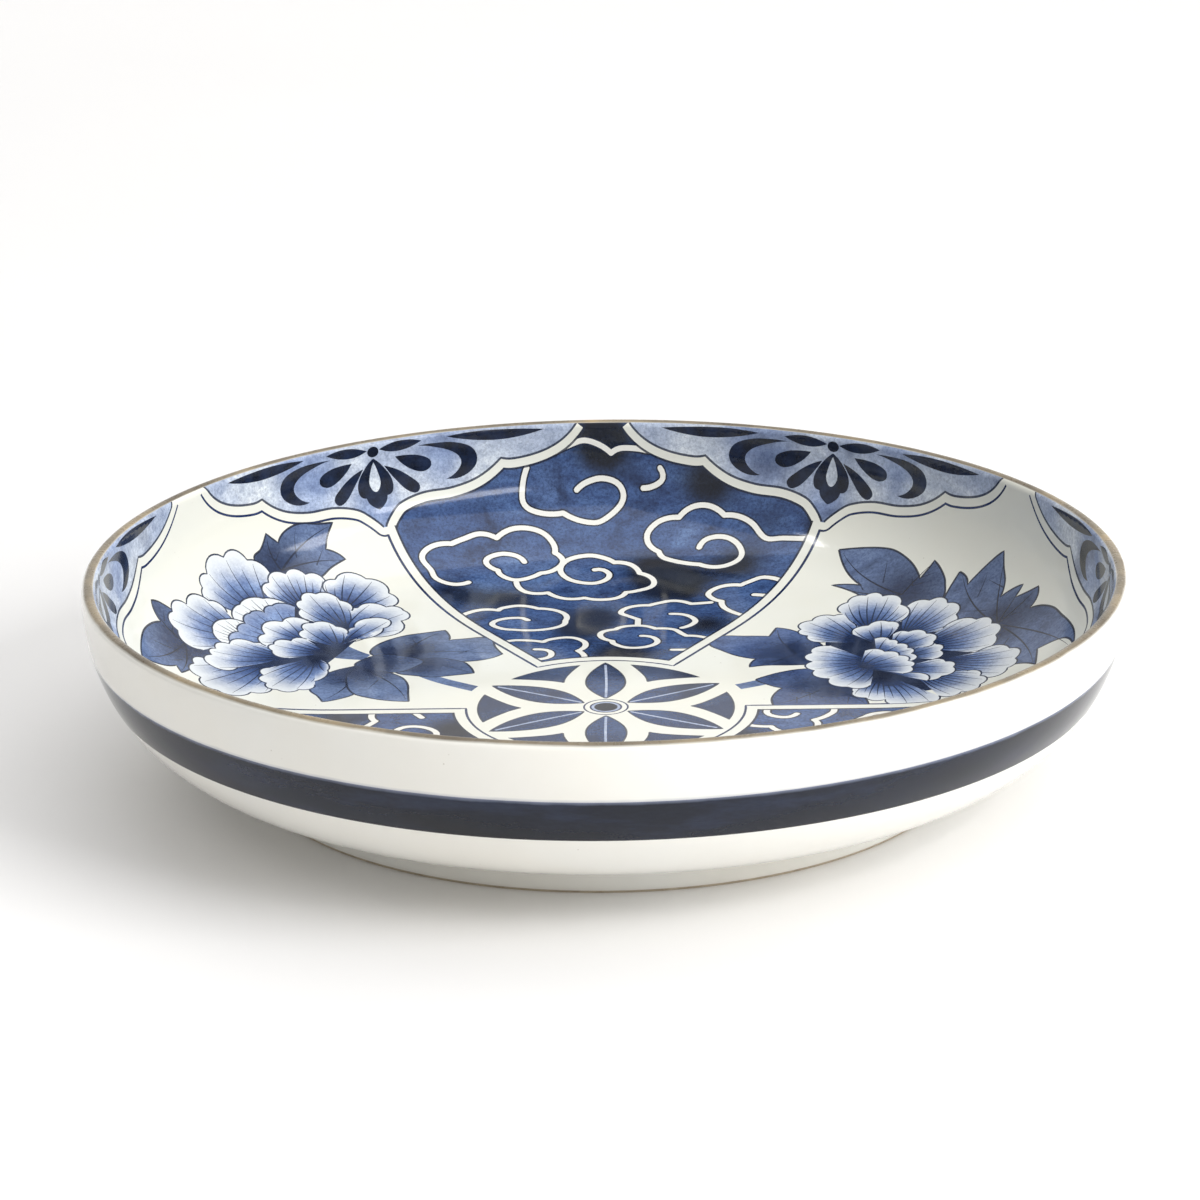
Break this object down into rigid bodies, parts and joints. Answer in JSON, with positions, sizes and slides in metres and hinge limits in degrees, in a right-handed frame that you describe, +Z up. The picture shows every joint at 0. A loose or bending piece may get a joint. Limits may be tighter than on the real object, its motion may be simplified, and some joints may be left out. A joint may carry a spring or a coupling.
{
  "type": "serving bowl",
  "caption": "Shallow round porcelain bowl on a low foot ring, blue cloud and peony panels inside, brown lip, dark blue band outside.",
  "frame": {"origin": "centre of the foot ring's resting face, on the table", "axes": "+Z up along the bowl's axis of rotation, +X and +Y across; panels repeat every 120 degrees about +Z, one cloud panel centred on +Y"},
  "size_m": [0.22, 0.22, 0.044],
  "materials": {
    "white_glaze": "gloss",
    "foot_glaze": "gloss",
    "iron_brown": "gloss",
    "cobalt_band": "gloss",
    "rosette_print": "gloss",
    "cloud_print": "gloss",
    "peony_print": "gloss",
    "lappet_print": "gloss"
  },
  "bodies": {
    "root": {"bowl_body": "white_glaze", "foot_ring": "foot_glaze", "rim_band": "iron_brown", "outer_band": "cobalt_band", "centre_rosette": "rosette_print", "cloud_panel_1": "cloud_print", "cloud_panel_2": "cloud_print", "cloud_panel_3": "cloud_print", "peony_panel_1": "peony_print", "peony_panel_2": "peony_print", "peony_panel_3": "peony_print", "rim_lappet_1": "lappet_print", "rim_lappet_2": "lappet_print", "rim_lappet_3": "lappet_print", "rim_lappet_4": "lappet_print", "rim_lappet_5": "lappet_print", "rim_lappet_6": "lappet_print"}
  },
  "joints": []
}
